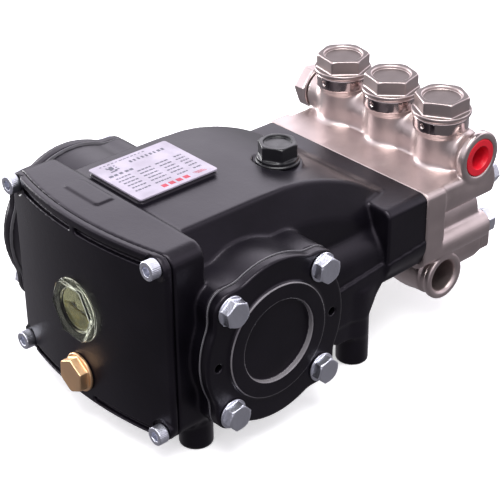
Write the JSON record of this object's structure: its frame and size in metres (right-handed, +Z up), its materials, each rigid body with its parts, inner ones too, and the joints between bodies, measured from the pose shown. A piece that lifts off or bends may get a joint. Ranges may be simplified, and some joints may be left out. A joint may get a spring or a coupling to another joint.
{
  "type": "pressure washer pump",
  "caption": "Triplex plunger pump with a black crankcase, bowed rear cover with sight glass, keyed drive shaft and a nickel-plated wet end with side ports.",
  "frame": {"origin": "centre of the pump's box at the level of its feet", "axes": "+X along the crank axis away from the drive shaft, +Y from the rear cover towards the wet end, +Z up"},
  "size_m": [0.2194, 0.2656, 0.1298],
  "materials": {
    "black_casting": "black satin paint over a die casting",
    "nickel_plate": "satin nickel plating over forged brass",
    "zinc_steel": "bright zinc plated",
    "steel": "ground",
    "aluminium": "machined",
    "brass": "bright machined brass",
    "ceramic": "polished white ceramic",
    "rubber": "matt",
    "clear_plastic": "clear moulded plastic with oil behind it",
    "black_plastic": "moulded, slightly glossy",
    "red_plastic": "moulded",
    "label_film": "printed film"
  },
  "bodies": {
    "pump_body": {"crankcase": "black_casting", "rear_cover": "black_casting", "rear_cover_screw_1": "zinc_steel", "rear_cover_screw_2": "zinc_steel", "rear_cover_screw_3": "zinc_steel", "rear_cover_screw_4": "zinc_steel", "sight_glass": "clear_plastic", "drain_plug": "brass", "nameplate": "label_film", "bearing_cover_blind": "black_casting", "bearing_cover_shaft": "black_casting", "blind_cover_bolt_1": "zinc_steel", "blind_cover_bolt_2": "zinc_steel", "blind_cover_bolt_3": "zinc_steel", "blind_cover_bolt_4": "zinc_steel", "shaft_cover_bolt_1": "zinc_steel", "shaft_cover_bolt_2": "zinc_steel", "shaft_cover_bolt_3": "zinc_steel", "shaft_cover_bolt_4": "zinc_steel", "bearing_blind": "steel", "bearing_shaft": "steel", "shaft_oil_seal": "rubber", "plunger_packing_1": "rubber", "plunger_packing_2": "rubber", "plunger_packing_3": "rubber", "wet_end_block": "nickel_plate", "outlet_valve_cap_1": "nickel_plate", "outlet_valve_cap_2": "nickel_plate", "outlet_valve_cap_3": "nickel_plate", "inlet_valve_cap_1": "nickel_plate", "inlet_valve_cap_2": "nickel_plate", "inlet_valve_cap_3": "nickel_plate", "outlet_valve_1": "steel", "outlet_valve_2": "steel", "outlet_valve_3": "steel", "inlet_valve_1": "steel", "inlet_valve_2": "steel", "inlet_valve_3": "steel", "wet_end_bolt_1": "zinc_steel", "wet_end_bolt_2": "zinc_steel", "wet_end_bolt_3": "zinc_steel", "wet_end_bolt_4": "zinc_steel", "wet_end_bolt_5": "zinc_steel", "wet_end_bolt_6": "zinc_steel", "wet_end_bolt_7": "zinc_steel", "wet_end_bolt_8": "zinc_steel", "outlet_gallery_plug": "nickel_plate"},
    "crankshaft_body": {"crankshaft": "steel", "shaft_key": "steel"},
    "con_rod_body_1": {"con_rod_1": "aluminium"},
    "crosshead_body_1": {"crosshead_1": "aluminium", "plunger_1": "ceramic"},
    "con_rod_body_2": {"con_rod_2": "aluminium"},
    "crosshead_body_2": {"crosshead_2": "aluminium", "plunger_2": "ceramic"},
    "con_rod_body_3": {"con_rod_3": "aluminium"},
    "crosshead_body_3": {"crosshead_3": "aluminium", "plunger_3": "ceramic"},
    "filler_cap_body": {"oil_filler_cap": "black_plastic"},
    "port_plug_body": {"outlet_port_plug": "red_plastic"}
  },
  "joints": [
    {"name": "crank_spin", "type": "hinge", "parent": "pump_body", "child": "crankshaft_body", "pos_m": [0.0248, -0.0605, 0.059], "axis": [1, 0, 0], "continuous": true},
    {"name": "rod_1_swing", "type": "hinge", "parent": "crankshaft_body", "child": "con_rod_body_1", "pos_m": [-0.0139, -0.055, 0.059], "axis": [1, 0, 0], "continuous": true},
    {"name": "crosshead_1_slide", "type": "slide", "parent": "pump_body", "child": "crosshead_body_1", "axis": [0, 1, 0], "range_m": [-0.011, 0]},
    {"name": "rod_2_swing", "type": "hinge", "parent": "crankshaft_body", "child": "con_rod_body_2", "pos_m": [0.0248, -0.06325, 0.06376], "axis": [1, 0, 0], "continuous": true},
    {"name": "crosshead_2_slide", "type": "slide", "parent": "pump_body", "child": "crosshead_body_2", "axis": [0, 1, 0], "range_m": [-0.00275, 0.00825]},
    {"name": "rod_3_swing", "type": "hinge", "parent": "crankshaft_body", "child": "con_rod_body_3", "pos_m": [0.0635, -0.06325, 0.05424], "axis": [1, 0, 0], "continuous": true},
    {"name": "crosshead_3_slide", "type": "slide", "parent": "pump_body", "child": "crosshead_body_3", "axis": [0, 1, 0], "range_m": [-0.00275, 0.00825]},
    {"name": "filler_cap_lift", "type": "slide", "parent": "pump_body", "child": "filler_cap_body", "axis": [0, 0, 1], "range_m": [0, 0.03]},
    {"name": "port_plug_pull", "type": "slide", "parent": "pump_body", "child": "port_plug_body", "axis": [1, 0, 0], "range_m": [0, 0.025]}
  ],
  "couplings": [
    {"joint": "rod_1_swing", "follows": "crank_spin", "ratio": -1},
    {"joint": "rod_2_swing", "follows": "crank_spin", "ratio": -1},
    {"joint": "rod_3_swing", "follows": "crank_spin", "ratio": -1}
  ]
}
